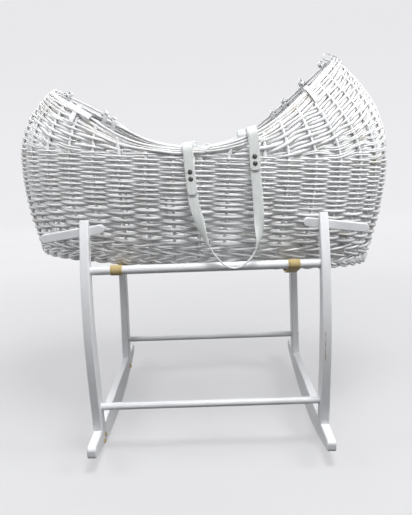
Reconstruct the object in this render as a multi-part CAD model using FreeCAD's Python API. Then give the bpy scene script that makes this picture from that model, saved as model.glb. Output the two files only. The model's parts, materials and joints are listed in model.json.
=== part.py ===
"""Wicker pod bassinet on a wooden rocking stand.  Millimetres, +Z up.

X runs along the basket (head end at +X), Y runs front (-Y) to back (+Y).  The origin is on the floor,
under the middle of the stand, where the rockers touch it.

The basket is drawn level in its own frame: u along it, v across it and w up from its foot border.
It then drops a little towards the head end, because it hangs in two webbing slings.
"""
import FreeCAD, Part
import math
import os

V = FreeCAD.Vector

# ---- stand: boards and rails ----
BOARD = 18.0                 # thickness of the legs and rockers, along X
FRAME_HALF = 248.0           # outer face of an end frame
ROCKER_HALF = 310.0          # half the length of a rocker
ROCKER_TOP = 58.0            # height of its straight top edge
ROCKER_RADIUS = 1370.0       # radius of the edge that rocks
ROCKER_END_ROUND = 8.0
LEG_TOP = 502.0
LEG_SEAT_Y = 209.0           # the flat that an arm is screwed to
LEG_SEAT_Z = 450.0
LEG_TIP = 8.0                # width left at the top of a leg
EDGE_ROUND = 2.0             # eased edges of the legs and arms
EDGE_CHAMFER = 1.5           # and of the rockers
TOP_RAIL = (226.8, 401.0, 18.0)      # distance from the middle, height, diameter
LOWER_RAIL = (219.0, 105.0, 15.0)
LAP = BOARD / 2              # depth of the half lap between leg and rocker

# ---- stand: arms ----
ARM_LENGTH = 132.0
ARM_HEIGHT = 18.0
ARM_THICKNESS = 14.0
ARM_INNER_X = 201.0          # the end of an arm that is nearer the middle
ARM_DROP = 8.0               # degrees that it falls towards its outer end
ARM_LEG_Z = 478.0            # height of its middle line where it crosses the leg

# ---- fasteners ----
BOLT_SHANK = 6.0
BOLT_HEAD = 11.0
BOLT_HEAD_HEIGHT = 3.4
RAIL_BOLT_REACH = 40.0       # how far a bolt goes into the end of a rail
FOOT_BOLT_SPREAD = 14.0      # between the two bolts of one foot, along Y
FOOT_BOLT_RISE = 8.0         # and along Z
FOOT_BOLT_END = 3.0          # wood left beyond a foot bolt's tip
SCREW_SHANK = 4.0
SCREW_HEAD = 8.0
SCREW_REACH = 16.0

# ---- slings ----
STRAP_WIDTH = 24.0
STRAP_THICKNESS = 1.6
STRAP_X = 178.0              # middle of each sling
STRAP_SLACK = 0.2            # between a sling's loop and its rail
SOFT_GAP = 0.3               # between a soft piece and what it touches

# ---- basket: its frame and its outline ----
TILT = 3.8                   # degrees, head end down
BASKET_X = -6.0
BASKET_Z = 386.0             # underside of the foot border at the middle
EXPONENT = 2.43              # roundness of the plan outline
BASE_HALF = (372.0, 376.0, 168.5)    # half sizes at the base: foot end, head end, side
BELLY_HALF = (418.0, 408.0, 214.0)   # the same at the widest level
BELLY_LEVEL = 219.0
HOOD_TOP = (366.0, 455.0, 455.0)     # level of each hood's crown, and of the side's own taper
HOOD_LEAN = (71.0, 131.0, 143.0)     # how far each comes in again up there
LEAN_POWER = (2.36, 2.36, 1.8)
WALL = 8.0
TRANSITION = 236.0           # level where the straight weave turns into the fanned hoods
RIM_POINTS = [(-347.0, 366.0), (-250.0, 316.0), (-160.0, 266.0), (-60.0, 247.5), (50.0, 264.0),
              (130.0, 307.5), (200.0, 376.0), (277.0, 455.0)]
RIM_MIDDLE = -60.0           # the lowest point of the rim, where the two hoods meet
RIM_DEPTH = 12.0
RIM_PROUD = 1.5
BORDER_HEIGHT = 20.0         # plaited foot border
BORDER_PROUD = 4.0
BORDER_INSIDE = 9.0
BASE_THICKNESS = 7.0
BASE_LIFT = 4.0
TIE_WIDTH = 12.0
TIE_THICKNESS = 1.4
TIE_AT = [-285.0, -225.0, -5.0, 145.0, 196.0]      # places along the rim, in u

# ---- handles ----
HANDLE_WIDTH = 20.0
HANDLE_THICKNESS = 2.5
HANDLE_RIM = (-35.0, 90.5)   # where its two ends go round the rim, in u
HANDLE_EYE = 14.4            # inside radius of the loop round the rim
HANDLE_CURVE = [(-8.0, 105.0), (14.0, 55.0), (66.0, 16.0), (101.0, 46.0), (109.0, 100.0)]
HANDLE_TARGET = ((-29.0, 199.0), (98.0, 210.0))    # where each end of it points as it leaves the rim
HANDLE_TWISTED = (45.0, 125.0)       # between these levels the strap turns onto its edge
HANDLE_LEAN = 8.0            # degrees that it leans out, to hang in front of the top rail
FLAP_LENGTH = (100.0, 68.0)  # folded-back end at each side, from the middle of its loop
RIVET_HEAD = 10.0
RIVET_HEAD_HEIGHT = 2.2
RIVET_SHANK = 3.0
RIVET_FROM_EYE = (42.0, 55.5)
EYE_CLEARANCE = 1.0          # between a strap and the wall that it passes through
EYE_PLAY = 0.5               # and between a strap and the rim inside its loop

SECTION_POINTS = 40
LEVELS = [0, 40, 90, 140, 190, 230, 270, 310, 345, 380, 410, 440, 470]

os.makedirs("parts", exist_ok=True)


def save(name, shape):
    """Writes one sub-part to its own file."""
    shape.exportStep("parts/" + name + ".step")
    print(name, len(shape.Solids), shape.isValid(), round(shape.Volume / 1000.0, 1))


def spline(points):
    """An edge through the points."""
    curve = Part.BSplineCurve()
    curve.interpolate(Points=points)
    return curve.toShape()


def cylinder(radius, length, start, direction):
    return Part.makeCylinder(radius, length, start, direction)


def mirrored(shape, normal):
    return shape.mirror(V(0, 0, 0), normal)


# ---------------------------------------------------------------- stand

def leg_outline():
    """Front view of a leg from the side: bowed outwards, tapering to its tip, down to the floor."""
    outer = spline([V(0, 229, 0), V(0, 247, 130), V(0, 260, 260), V(0, 249, 390),
                    V(0, LEG_SEAT_Y + LEG_TIP, LEG_TOP)])
    inner = spline([V(0, 188, 0), V(0, 207, 150), V(0, 222, 290), V(0, LEG_SEAT_Y, LEG_SEAT_Z)])
    tip = Part.makeLine(V(0, LEG_SEAT_Y + LEG_TIP, LEG_TOP), V(0, LEG_SEAT_Y, LEG_TOP))
    seat = Part.makeLine(V(0, LEG_SEAT_Y, LEG_TOP), V(0, LEG_SEAT_Y, LEG_SEAT_Z))
    sole = Part.makeLine(V(0, 188, 0), V(0, 229, 0))
    return Part.Face(Part.Wire(Part.__sortEdges__([outer, tip, seat, inner, sole])))


def rocker_outline():
    """A board with a straight top edge, an arc to rock on and rounded ends."""
    def rise(y):
        return ROCKER_RADIUS - math.sqrt(ROCKER_RADIUS ** 2 - y ** 2)
    end = rise(ROCKER_HALF)
    sole = Part.Arc(V(0, -ROCKER_HALF, end), V(0, 0, 0), V(0, ROCKER_HALF, end)).toShape()
    corners = [V(0, ROCKER_HALF, end), V(0, ROCKER_HALF, ROCKER_TOP),
               V(0, -ROCKER_HALF, ROCKER_TOP), V(0, -ROCKER_HALF, end)]
    return Part.Face(Part.Wire([sole] + [Part.makeLine(a, b) for a, b in zip(corners, corners[1:])]))


def slab(face, x_low, x_high):
    """A YZ outline given thickness between two X values."""
    return face.translated(V(x_low, 0, 0)).extrude(V(x_high - x_low, 0, 0))


def rounded(shape, radius, wanted):
    """Eases the edges that wanted() picks."""
    return shape.makeFillet(radius, [edge for edge in shape.Edges if wanted(edge)])


def along_x(edge):
    box = edge.BoundBox
    return box.YLength < 0.01 and box.ZLength < 0.01


def outline_edge(edge):
    """Edges of a board's two broad faces."""
    return edge.BoundBox.XLength < 0.01


def foot_bolt_places():
    """Two bolt centres (Y, Z) on the lap of a leg and its rocker."""
    middle_y = 209.0
    middle_z = 29.0
    return [(middle_y - FOOT_BOLT_SPREAD / 2, middle_z + FOOT_BOLT_RISE / 2),
            (middle_y + FOOT_BOLT_SPREAD / 2, middle_z - FOOT_BOLT_RISE / 2)]


def domed_pin(tip, along, length, shank, head, dome):
    """A turned pin with a domed head: tip is the far end of its shank, and along points to its head."""
    bulge = (head / 2) ** 2 / (2 * dome) + dome / 2
    half = math.asin(head / 2 / bulge) / 2
    middle = V(bulge * math.sin(half), 0, length + dome - bulge + bulge * math.cos(half))
    corners = [V(0, 0, 0), V(shank / 2, 0, 0), V(shank / 2, 0, length), V(head / 2, 0, length)]
    edges = [Part.makeLine(a, b) for a, b in zip(corners, corners[1:])]
    edges.append(Part.Arc(corners[-1], middle, V(0, 0, length + dome)).toShape())
    edges.append(Part.makeLine(V(0, 0, length + dome), V(0, 0, 0)))
    pin = Part.Face(Part.Wire(edges)).revolve(V(0, 0, 0), V(0, 0, 1), 360)
    pin.Placement = FreeCAD.Placement(tip, FreeCAD.Rotation(V(0, 0, 1), along))
    return pin


def bolt(tip, head_side, length):
    """A dome-headed bolt along X: head_side is +1 or -1."""
    return domed_pin(tip, V(head_side, 0, 0), length, BOLT_SHANK, BOLT_HEAD, BOLT_HEAD_HEIGHT)


def foot_bolt(side, y, z):
    """Its head is on the +X face of each end frame, and it stops inside the other board."""
    right_face = FRAME_HALF if side > 0 else BOARD - FRAME_HALF
    length = BOARD - FOOT_BOLT_END
    return bolt(V(right_face - length, y, z), 1, length)


def rail_bolt(side, rail, row):
    """It runs through the leg from outside, into the end of the rail."""
    length = BOARD + RAIL_BOLT_REACH
    return bolt(V(side * (FRAME_HALF - length), row * rail[0], rail[1]), side, length)


def holes(shape, bolts):
    for item in bolts:
        shape = shape.cut(item)
    return shape


def build_stand():
    inner_face = FRAME_HALF - BOARD
    leg_face = leg_outline()
    rocker_face = rocker_outline()
    foot_bolts = []
    rail_bolts = []
    for side in (-1, 1):
        for row in (-1, 1):
            foot_bolts += [foot_bolt(side, row * y, z) for y, z in foot_bolt_places()]
            rail_bolts += [rail_bolt(side, rail, row) for rail in (TOP_RAIL, LOWER_RAIL)]
    above = Part.makeBox(BOARD, 400, LEG_TOP, V(inner_face, 0, ROCKER_TOP))
    blank = rounded(slab(rocker_face, inner_face, FRAME_HALF), ROCKER_END_ROUND, along_x)
    rocker = blank.makeChamfer(EDGE_CHAMFER, [edge for edge in blank.Edges if outline_edge(edge)])
    below = Part.makeBox(BOARD, 2 * ROCKER_HALF, ROCKER_TOP / 2, V(inner_face, -ROCKER_HALF, 0))
    lap = slab(leg_face, inner_face, inner_face + LAP)
    tongue = lap.common(blank.cut(below).fuse(rocker.common(below)))
    upper = slab(leg_face, inner_face, FRAME_HALF).common(above)
    upper = rounded(upper, EDGE_ROUND, lambda edge: outline_edge(edge)
                    and edge.BoundBox.ZMax > ROCKER_TOP + 0.01)
    leg = upper.fuse(tongue).removeSplitter()
    rocker = rocker.cut(lap).cut(mirrored(lap, V(0, 1, 0)))
    screws = []
    for side, side_name in ((-1, "left"), (1, "right")):
        turn = V(1, 0, 0) if side < 0 else None
        side_rocker = mirrored(rocker, turn) if turn else rocker
        save("rocker_" + side_name, holes(side_rocker, foot_bolts))
        for row, row_name in ((-1, "front"), (1, "rear")):
            piece = mirrored(leg, turn) if turn else leg
            piece = mirrored(piece, V(0, 1, 0)) if row < 0 else piece
            arm, screw = arm_and_screw(side, row)
            screws.append(screw)
            piece = holes(piece, foot_bolts + rail_bolts + [screw])
            save("leg_" + row_name + "_" + side_name, piece)
            save("arm_" + row_name + "_" + side_name, arm.cut(screw))
    for row, row_name in ((-1, "front"), (1, "rear")):
        for name, rail in (("top_rail_", TOP_RAIL), ("lower_rail_", LOWER_RAIL)):
            bar = cylinder(rail[2] / 2, 2 * inner_face, V(-inner_face, row * rail[0], rail[1]), V(1, 0, 0))
            save(name + row_name, holes(bar, rail_bolts))
    save("foot_bolts", Part.makeCompound(foot_bolts))
    save("rail_bolts", Part.makeCompound(rail_bolts))
    save("arm_screws", Part.makeCompound(screws))


def arm_and_screw(side, row):
    """A short bar on the basket side of a leg, falling outwards, and the screw that holds it."""
    leg_x = FRAME_HALF - BOARD / 2
    bar = Part.makeBox(ARM_LENGTH, ARM_THICKNESS, ARM_HEIGHT,
                       V(ARM_INNER_X - leg_x, -ARM_THICKNESS, -ARM_HEIGHT / 2))
    bar = rounded(bar, ARM_HEIGHT / 2 - 0.5, lambda edge: edge.BoundBox.YLength > 1.0
                  and edge.BoundBox.XLength < 0.01 and edge.BoundBox.ZLength < 0.01)
    bar = rounded(bar, EDGE_ROUND, lambda edge: edge.BoundBox.YLength < 0.01)
    bar.rotate(V(0, 0, 0), V(0, 1, 0), ARM_DROP)
    bar.translate(V(leg_x, LEG_SEAT_Y, ARM_LEG_Z))
    start = V(leg_x, LEG_SEAT_Y - ARM_THICKNESS, ARM_LEG_Z)
    shank = cylinder(SCREW_SHANK / 2, ARM_THICKNESS + SCREW_REACH, start, V(0, 1, 0))
    head = Part.makeCone(SCREW_HEAD / 2, SCREW_SHANK / 2, SCREW_HEAD / 2 - SCREW_SHANK / 2, start, V(0, 1, 0))
    screw = shank.fuse(head).removeSplitter()
    if side < 0:
        bar = mirrored(bar, V(1, 0, 0))
        screw = mirrored(screw, V(1, 0, 0))
    if row < 0:
        bar = mirrored(bar, V(0, 1, 0))
        screw = mirrored(screw, V(0, 1, 0))
    return bar, screw


# ---------------------------------------------------------------- slings

def base_height(x):
    """Height of the foot border's underside above the floor."""
    return BASKET_Z - (x - BASKET_X) * math.tan(math.radians(TILT))


def sling(x):
    """Webbing looped round both top rails and passing under the basket."""
    top = min(base_height(x - STRAP_WIDTH / 2), base_height(x + STRAP_WIDTH / 2)) - SOFT_GAP
    rail_y, rail_z, rail_d = TOP_RAIL
    inside = rail_d / 2 + STRAP_SLACK
    outside = inside + STRAP_THICKNESS
    edge_y = BASE_HALF[2] + BORDER_PROUD
    left = x - STRAP_WIDTH / 2

    def band(points):
        return Part.Face(Part.makePolygon(points + points[:1])).extrude(V(STRAP_WIDTH, 0, 0))

    def tangent(radius):
        """The point where a line from the basket's edge touches a circle round the rail from below."""
        dy = rail_y - edge_y
        dz = rail_z - (top - (outside - radius))
        reach = math.hypot(dy, dz)
        angle = math.atan2(dz, dy) - math.asin(radius / reach)
        along = math.sqrt(reach ** 2 - radius ** 2)
        return V(left, edge_y + along * math.cos(angle), top - (outside - radius) + along * math.sin(angle))

    shape = band([V(left, -edge_y, top), V(left, edge_y, top),
                  V(left, edge_y, top - STRAP_THICKNESS), V(left, -edge_y, top - STRAP_THICKNESS)])
    for row in (-1, 1):
        ring = cylinder(outside, STRAP_WIDTH, V(left, rail_y, rail_z), V(1, 0, 0))
        span = band([V(left, edge_y, top), tangent(inside), tangent(outside),
                     V(left, edge_y, top - STRAP_THICKNESS)])
        hole = cylinder(inside, STRAP_WIDTH, V(left, rail_y, rail_z), V(1, 0, 0))
        end = ring.fuse(span).cut(hole)
        shape = shape.fuse(mirrored(end, V(0, 1, 0)) if row < 0 else end)
    return shape.removeSplitter()


# ---------------------------------------------------------------- basket

def half_size(level, part, inset):
    """Half size at a level.  part 0 is the foot end, 1 the head end and 2 the side.  It swells as a
    quarter sine from the base to the belly, then comes in as a power of the height above the belly."""
    base = BASE_HALF[part] - inset
    belly = BELLY_HALF[part] - inset
    if level <= BELLY_LEVEL:
        return base + (belly - base) * math.sin(math.pi / 2 * level / BELLY_LEVEL)
    climb = (level - BELLY_LEVEL) / (HOOD_TOP[part] - inset / 2 - BELLY_LEVEL)
    return belly - HOOD_LEAN[part] * climb ** LEAN_POWER[part]


def section(level, inset):
    """The closed outline at a level: (a cos t, b sin t) times (|cos t|^n + |sin t|^n)^(-1/n)."""
    points = []
    for index in range(SECTION_POINTS):
        angle = 2 * math.pi * index / SECTION_POINTS
        cosine = math.cos(angle)
        sine = math.sin(angle)
        stretch = (abs(cosine) ** EXPONENT + abs(sine) ** EXPONENT) ** (-1 / EXPONENT)
        end = half_size(level, 1 if cosine > 0 else 0, inset)
        points.append(V(end * cosine * stretch, half_size(level, 2, inset) * sine * stretch, level))
    curve = Part.BSplineCurve()
    curve.interpolate(Points=points, PeriodicFlag=True,
                      Parameters=[index / SECTION_POINTS for index in range(SECTION_POINTS + 1)])
    return Part.Wire([curve.toShape()])


def body(inset):
    """The whole outline as a solid, inset by a distance (outwards when negative)."""
    return Part.makeLoft([section(level, inset) for level in LEVELS], True, False)


def rim_height(u):
    """Level of the rim at a place along the basket."""
    edge = spline([V(a, 0, b) for a, b in RIM_POINTS])
    cut = edge.Curve.intersectCC(Part.Line(V(u, 0, 0), V(u, 0, 1)))
    return cut[0].Z


def above_rim(depth):
    """Everything above the rim's line, moved square to itself by a depth."""
    curve = Part.BSplineCurve()
    curve.interpolate(Points=[V(a, -600, b) for a, b in RIM_POINTS])
    points = []
    count = 24
    for index in range(count + 1):
        value = curve.FirstParameter + (curve.LastParameter - curve.FirstParameter) * index / count
        slope = curve.tangent(value)[0]
        points.append(curve.value(value) + V(slope.z, 0, -slope.x) * depth)
    first = points[0] + (points[0] - points[1]).normalize() * 120
    last = points[-1] + (points[-1] - points[-2]).normalize() * 120
    moved = spline(points)
    top = 800.0
    corners = [points[-1], last, V(last.x, -600, top), V(first.x, -600, top), first, points[0]]
    edges = [moved] + [Part.makeLine(a, b) for a, b in zip(corners, corners[1:])]
    return Part.Face(Part.Wire(edges)).extrude(V(0, 1200, 0))


def between(low, high, left=-700.0, right=700.0):
    """A box between two levels."""
    return Part.makeBox(right - left, 1200, high - low, V(left, -600, low))


def placed(shape):
    """From the basket's own frame to the stand's."""
    result = shape.copy()
    result.rotate(V(0, 0, 0), V(0, 1, 0), TILT)
    result.translate(V(BASKET_X, 0, BASKET_Z))
    return result


def eye_centres():
    """Middle of the rim where the front handle goes round it, both at the same distance across."""
    places = []
    for u in HANDLE_RIM:
        level = rim_height(u) - RIM_DEPTH / 2
        across = half_size(level, 2, WALL / 2) * (1 - (abs(u) / BELLY_HALF[1]) ** EXPONENT) ** (1 / EXPONENT)
        places.append((u, across, level))
    middle = sum(place[1] for place in places) / len(places)
    return [V(u, -middle, level) for u, across, level in places]


def build_basket():
    outer = body(0)
    inner = body(WALL)
    shell = outer.cut(inner)
    open_top = above_rim(0)
    below_rim = above_rim(RIM_DEPTH)
    slots = []
    nips = []
    along = handle_frame()[2]
    for centre in eye_centres():
        size = HANDLE_WIDTH + 2 * EYE_CLEARANCE
        start = centre - along * (size / 2)
        slot = cylinder(HANDLE_EYE + HANDLE_THICKNESS + EYE_CLEARANCE, size, start, along)
        nip = slot.cut(cylinder(HANDLE_EYE - EYE_PLAY, size, start, along))
        slots += [slot, mirrored(slot, V(0, 1, 0))]
        nips += [nip, mirrored(nip, V(0, 1, 0))]
    wall = shell.common(between(BORDER_HEIGHT, TRANSITION)).cut(below_rim)
    hood = shell.common(between(TRANSITION, 500)).cut(below_rim)
    for slot in slots:
        wall = wall.cut(slot)
        hood = hood.cut(slot)
    save("side_wall", placed(wall))
    save("foot_hood", placed(hood.common(between(0, 500, right=RIM_MIDDLE))))
    save("head_hood", placed(hood.common(between(0, 500, left=RIM_MIDDLE))))
    proud_shell = body(-RIM_PROUD).cut(body(WALL + RIM_PROUD))
    rim = proud_shell.common(below_rim).cut(open_top)
    for nip in nips:
        rim = rim.cut(nip)
    save("rim_border", placed(rim))
    tie_shell = body(-RIM_PROUD - TIE_THICKNESS).cut(body(WALL + RIM_PROUD + TIE_THICKNESS))
    tie_band = tie_shell.common(below_rim).cut(above_rim(-TIE_THICKNESS)).cut(rim)
    ties = [tie_band.common(between(0, 500, u - TIE_WIDTH / 2, u + TIE_WIDTH / 2)) for u in TIE_AT]
    save("rim_ties", placed(Part.makeCompound([solid for tie in ties for solid in tie.Solids])))
    border = body(-BORDER_PROUD).common(between(0, BORDER_HEIGHT)).cut(body(BORDER_INSIDE))
    save("foot_border", placed(border))
    panel = body(BORDER_INSIDE).common(between(BASE_LIFT, BASE_LIFT + BASE_THICKNESS))
    save("base_panel", placed(panel))


# ---------------------------------------------------------------- handles

def handle_frame():
    """Eye centres, the unit direction between them and the plane that the straps hang in."""
    left, right = eye_centres()
    along = (right - left).normalize()
    return left, right, along, left.y - HANDLE_EYE - HANDLE_THICKNESS / 2


def strap_ring(centre, along):
    """The loop of a strap round the rim."""
    start = centre - along * (HANDLE_WIDTH / 2)
    ring = cylinder(HANDLE_EYE + HANDLE_THICKNESS, HANDLE_WIDTH, start, along)
    return ring.cut(cylinder(HANDLE_EYE, HANDLE_WIDTH, start, along))


def strap_loop(start, start_way, end, end_way, plane):
    """A band along one smooth curve, flat against the basket at its ends and on edge at the bottom."""
    curve = Part.BSplineCurve()
    curve.interpolate(Points=[start] + [V(u, plane, w) for u, w in HANDLE_CURVE] + [end],
                      InitialTangent=start_way, FinalTangent=end_way)
    low, high = HANDLE_TWISTED
    wires = []
    count = 28
    for index in range(count + 1):
        value = curve.FirstParameter + (curve.LastParameter - curve.FirstParameter) * index / count
        place = curve.value(value)
        tangent = curve.tangent(value)[0]
        share = min(1.0, max(0.0, (high - place.z) / (high - low)))
        twist = math.pi / 2 * (3 * share ** 2 - 2 * share ** 3)
        side = V(0, 1, 0).cross(tangent)
        wide = side * math.cos(twist) + V(0, 1, 0) * math.sin(twist)
        thin = tangent.cross(wide) * (HANDLE_THICKNESS / 2)
        wide = wide * (HANDLE_WIDTH / 2)
        corners = [place + wide + thin, place - wide + thin, place - wide - thin, place + wide - thin]
        wires.append(Part.makePolygon(corners + corners[:1]))
    return Part.makeLoft(wires, True, True)


def strap_end(start, down, length):
    """The two riveted layers of an end, hanging straight down from the loop round the rim."""
    side = V(0, 1, 0).cross(down) * (HANDLE_WIDTH / 2)
    end = start + down * length
    face = Part.Face(Part.makePolygon([start + side, start - side, end - side, end + side, start + side]))
    inner = HANDLE_THICKNESS / 2
    return face.translated(V(0, inner, 0)).extrude(V(0, -2 * HANDLE_THICKNESS, 0))


def build_handles():
    left, right, along, plane = handle_frame()
    strap = None
    rivets = []
    tails = []
    for centre, target, length in zip((left, right), HANDLE_TARGET, FLAP_LENGTH):
        start = V(centre.x, plane, centre.z)
        down = (V(target[0], plane, target[1]) - start).normalize()
        tails.append((start + down * length, down))
        end = strap_end(start, down, length).cut(cylinder(HANDLE_EYE, 60, centre - along * 30, along))
        end = end.fuse(strap_ring(centre, along))
        strap = end if strap is None else strap.fuse(end)
        for distance in RIVET_FROM_EYE:
            rivets.append(rivet(start + down * distance + V(0, HANDLE_THICKNESS / 2, 0)))
    strap = strap.fuse(strap_loop(tails[0][0], tails[0][1], tails[1][0], tails[1][1] * -1, plane))
    strap = holes(strap.removeSplitter(), rivets)
    for row_name, row in (("front", -1), ("rear", 1)):
        for name, shape in (("handle_strap_", strap), ("handle_rivets_", Part.makeCompound(rivets))):
            leaning = shape.copy()
            leaning.rotate(left, along, -HANDLE_LEAN)
            save(name + row_name, placed(leaning if row < 0 else mirrored(leaning, V(0, 1, 0))))
    for label, centre in (("left eye", left), ("right eye", right)):
        print(label, placed(Part.Vertex(centre)).Point)


def rivet(spot):
    """A rivet with a domed cap, through both layers of the strap, facing outwards."""
    return domed_pin(spot, V(0, -1, 0), 2 * HANDLE_THICKNESS, RIVET_SHANK, RIVET_HEAD, RIVET_HEAD_HEIGHT)


build_stand()
save("sling_left", sling(-STRAP_X))
save("sling_right", sling(STRAP_X))
build_basket()
build_handles()
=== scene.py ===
import json
import math

import bpy
import numpy as np
from mathutils import Matrix, Vector


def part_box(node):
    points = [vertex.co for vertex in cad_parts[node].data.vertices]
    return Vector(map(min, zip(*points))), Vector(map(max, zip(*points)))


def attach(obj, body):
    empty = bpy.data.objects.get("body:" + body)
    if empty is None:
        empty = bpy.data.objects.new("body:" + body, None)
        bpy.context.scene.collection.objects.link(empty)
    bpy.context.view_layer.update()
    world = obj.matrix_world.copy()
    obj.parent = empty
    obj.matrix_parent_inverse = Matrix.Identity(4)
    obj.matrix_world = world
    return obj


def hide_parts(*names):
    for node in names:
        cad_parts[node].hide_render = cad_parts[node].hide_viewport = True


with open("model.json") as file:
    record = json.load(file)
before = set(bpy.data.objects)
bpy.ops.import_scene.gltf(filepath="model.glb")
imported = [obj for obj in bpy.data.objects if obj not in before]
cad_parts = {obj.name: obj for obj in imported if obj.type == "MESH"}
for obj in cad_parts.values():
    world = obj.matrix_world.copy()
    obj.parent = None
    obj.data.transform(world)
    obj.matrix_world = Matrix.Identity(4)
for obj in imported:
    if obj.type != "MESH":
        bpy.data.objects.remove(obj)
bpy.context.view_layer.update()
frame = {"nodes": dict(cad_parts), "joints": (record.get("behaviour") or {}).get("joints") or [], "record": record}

# A white wicker pod basket lying in two webbing slings on a low rocking stand.  All sizes are in metres.

NODES = frame["nodes"]
MOUNTS = {mount["name"]: mount for mount in frame["record"]["mounts"]}
JOINTS = {joint["name"]: joint for joint in frame["joints"]}
CHANCE = np.random.default_rng(7)

# ---- the basket's own frame: u along it, v across it, w up from its foot ----
MATTRESS_LEVEL = 0.011
UP = np.array(MOUNTS["mattress_seat"]["axis"], float)
UP /= np.linalg.norm(UP)
FOOT = np.array(MOUNTS["mattress_seat"]["pos_m"], float) - UP * MATTRESS_LEVEL
TO_STAND = np.array([(UP[2], 0.0, -UP[0]), (0.0, 1.0, 0.0), UP])

# ---- outline of the basket ----
ROUNDNESS = 2.43
BASE_HALF = (0.372, 0.376, 0.1685)      # foot end, head end, side
BELLY_HALF = (0.418, 0.408, 0.214)
BELLY_LEVEL = 0.219
HOOD_TOP = (0.366, 0.455, 0.455)
HOOD_LEAN = (0.071, 0.131, 0.143)
LEAN_POWER = (2.36, 2.36, 1.8)
RIM = np.array([(-0.347, 0.366), (-0.250, 0.316), (-0.160, 0.266), (-0.060, 0.2475), (0.050, 0.264),
                (0.130, 0.3075), (0.200, 0.376), (0.277, 0.455)])
RIM_MIDDLE = -0.060             # the lowest place of the rim, where the two hoods meet
RIM_TOP = 0.470                 # a level above the whole rim
FAN_LEVEL = 0.236               # the rows are level below this and fan out above it
WEAVE_DEPTH = -0.006            # middle of the weave, inside the outer surface

# ---- stakes and rods ----
STAKES = 38
STAKE_SHIFT = -0.0095           # the front stake nearest the middle, in u
STAKE_RADIUS = 0.0035
STAKE_PROUD = 0.0018            # the stakes stand out from the middle of the weave
HEAD_SPREAD = (0.060, 0.405)    # between these the stakes stand a little nearer the head
HEAD_PUSH = 0.014
STRAP_ROOM = 0.020              # stakes keep this far from the middle of a handle's end
STAKE_FOOT = 0.004
UPRIGHT_SHARE = 0.85            # how the stakes crowd towards the ends along the rim
LATE_LEAN = 1.25                # above 1, a stake leans more near the rim than near its foot
SIDES = 7                       # of a rod

# ---- handles ----
HANDLE_RIM = (-0.035, 0.0905)           # places of its two loops along the rim
HANDLE_WIDTH = 0.020
HANDLE_THICKNESS = 0.0025
HANDLE_EYE = 0.0144                     # inside radius of a loop
HANDLE_CURVE = [(-0.008, 0.105), (0.014, 0.055), (0.066, 0.016), (0.101, 0.046), (0.109, 0.100)]
HANDLE_TARGET = ((-0.029, 0.199), (0.098, 0.210))   # where its two ends point, in u and w
HANDLE_TWISTED = (0.045, 0.125)         # it lies on its edge below the first level and flat above the second
HANDLE_LEAN = math.radians(8.0)         # of the whole strap, away from the wall
FLAP_LENGTH = (0.088, 0.070)            # of its folded ends
SEAM_INSET = 0.0022                     # of its stitching, from the edge


# ------------------------------------------------------------------ shapes

def unit(vectors):
    """Vectors at length one."""
    return vectors / np.linalg.norm(vectors, axis=-1, keepdims=True)


def in_stand(points):
    """Points in the basket's frame, taken to the stand's: foot + u along + v across + w up."""
    return FOOT + points @ TO_STAND


def eased(share):
    """3 x^2 - 2 x^3 of a share kept from 0 to 1."""
    share = np.clip(share, 0.0, 1.0)
    return share * share * (3 - 2 * share)


def squared(wave, power):
    """A wave pressed out towards -1 and 1: its sign times its size to a power below 1."""
    return np.sign(wave) * np.abs(wave) ** power


def smooth_curve(points, where, start=None, end=None):
    """A cubic spline through the points, its parameter the distance from point to point as a share of the
    whole.  It ends straight, or along start and end, and is read at the shares in where."""
    points = np.asarray(points, float)
    steps = np.linalg.norm(np.diff(points, axis=0), axis=1)
    knots = np.concatenate([[0.0], np.cumsum(steps)]) / steps.sum()
    gaps = np.diff(knots)
    count = len(points)
    system = np.zeros((count, count))
    right = np.zeros_like(points)
    rises = np.diff(points, axis=0) / gaps[:, None]
    inner = np.arange(1, count - 1)
    system[inner, inner - 1] = gaps[:-1]
    system[inner, inner] = 2 * (gaps[:-1] + gaps[1:])
    system[inner, inner + 1] = gaps[1:]
    right[inner] = 6 * np.diff(rises, axis=0)
    system[0, 0] = system[-1, -1] = 1.0
    if start is not None:
        system[0, :2] = 2 * gaps[0], gaps[0]
        right[0] = 6 * (rises[0] - unit(np.asarray(start, float)) * steps.sum())
    if end is not None:
        system[-1, -2:] = gaps[-1], 2 * gaps[-1]
        right[-1] = 6 * (unit(np.asarray(end, float)) * steps.sum() - rises[-1])
    bends = np.linalg.solve(system, right)
    piece = np.clip(np.searchsorted(knots, where, side="right") - 1, 0, count - 2)
    gap = gaps[piece][:, None]
    before = (knots[piece + 1] - where)[:, None]
    after = (where - knots[piece])[:, None]
    return (bends[piece] * before ** 3 / (6 * gap) + bends[piece + 1] * after ** 3 / (6 * gap)
            + (points[piece] / gap - bends[piece] * gap / 6) * before
            + (points[piece + 1] / gap - bends[piece + 1] * gap / 6) * after)


RIM_CURVE = smooth_curve(RIM, np.linspace(0.0, 1.0, 400))


def rim_level(u):
    """Level of the rim above a place along the basket, going on straight past both ends."""
    places, levels = RIM_CURVE.T
    first = RIM_CURVE[1] - RIM_CURVE[0]
    last = RIM_CURVE[-1] - RIM_CURVE[-2]
    before = levels[0] + (u - places[0]) * first[1] / first[0]
    after = levels[-1] + (u - places[-1]) * last[1] / last[0]
    level = np.where(u < places[0], before, np.interp(u, places, levels))
    return np.where(u > places[-1], after, level)


def half_size(level, part):
    """Half size at a level: a quarter sine from the base out to the belly, then in again as a power of
    the height above the belly."""
    swell = BASE_HALF[part] + (BELLY_HALF[part] - BASE_HALF[part]) * np.sin(
        np.pi / 2 * np.clip(level / BELLY_LEVEL, 0.0, 1.0))
    climb = np.clip((level - BELLY_LEVEL) / (HOOD_TOP[part] - BELLY_LEVEL), 0.0, None)
    return swell - HOOD_LEAN[part] * climb ** LEAN_POWER[part]


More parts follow.
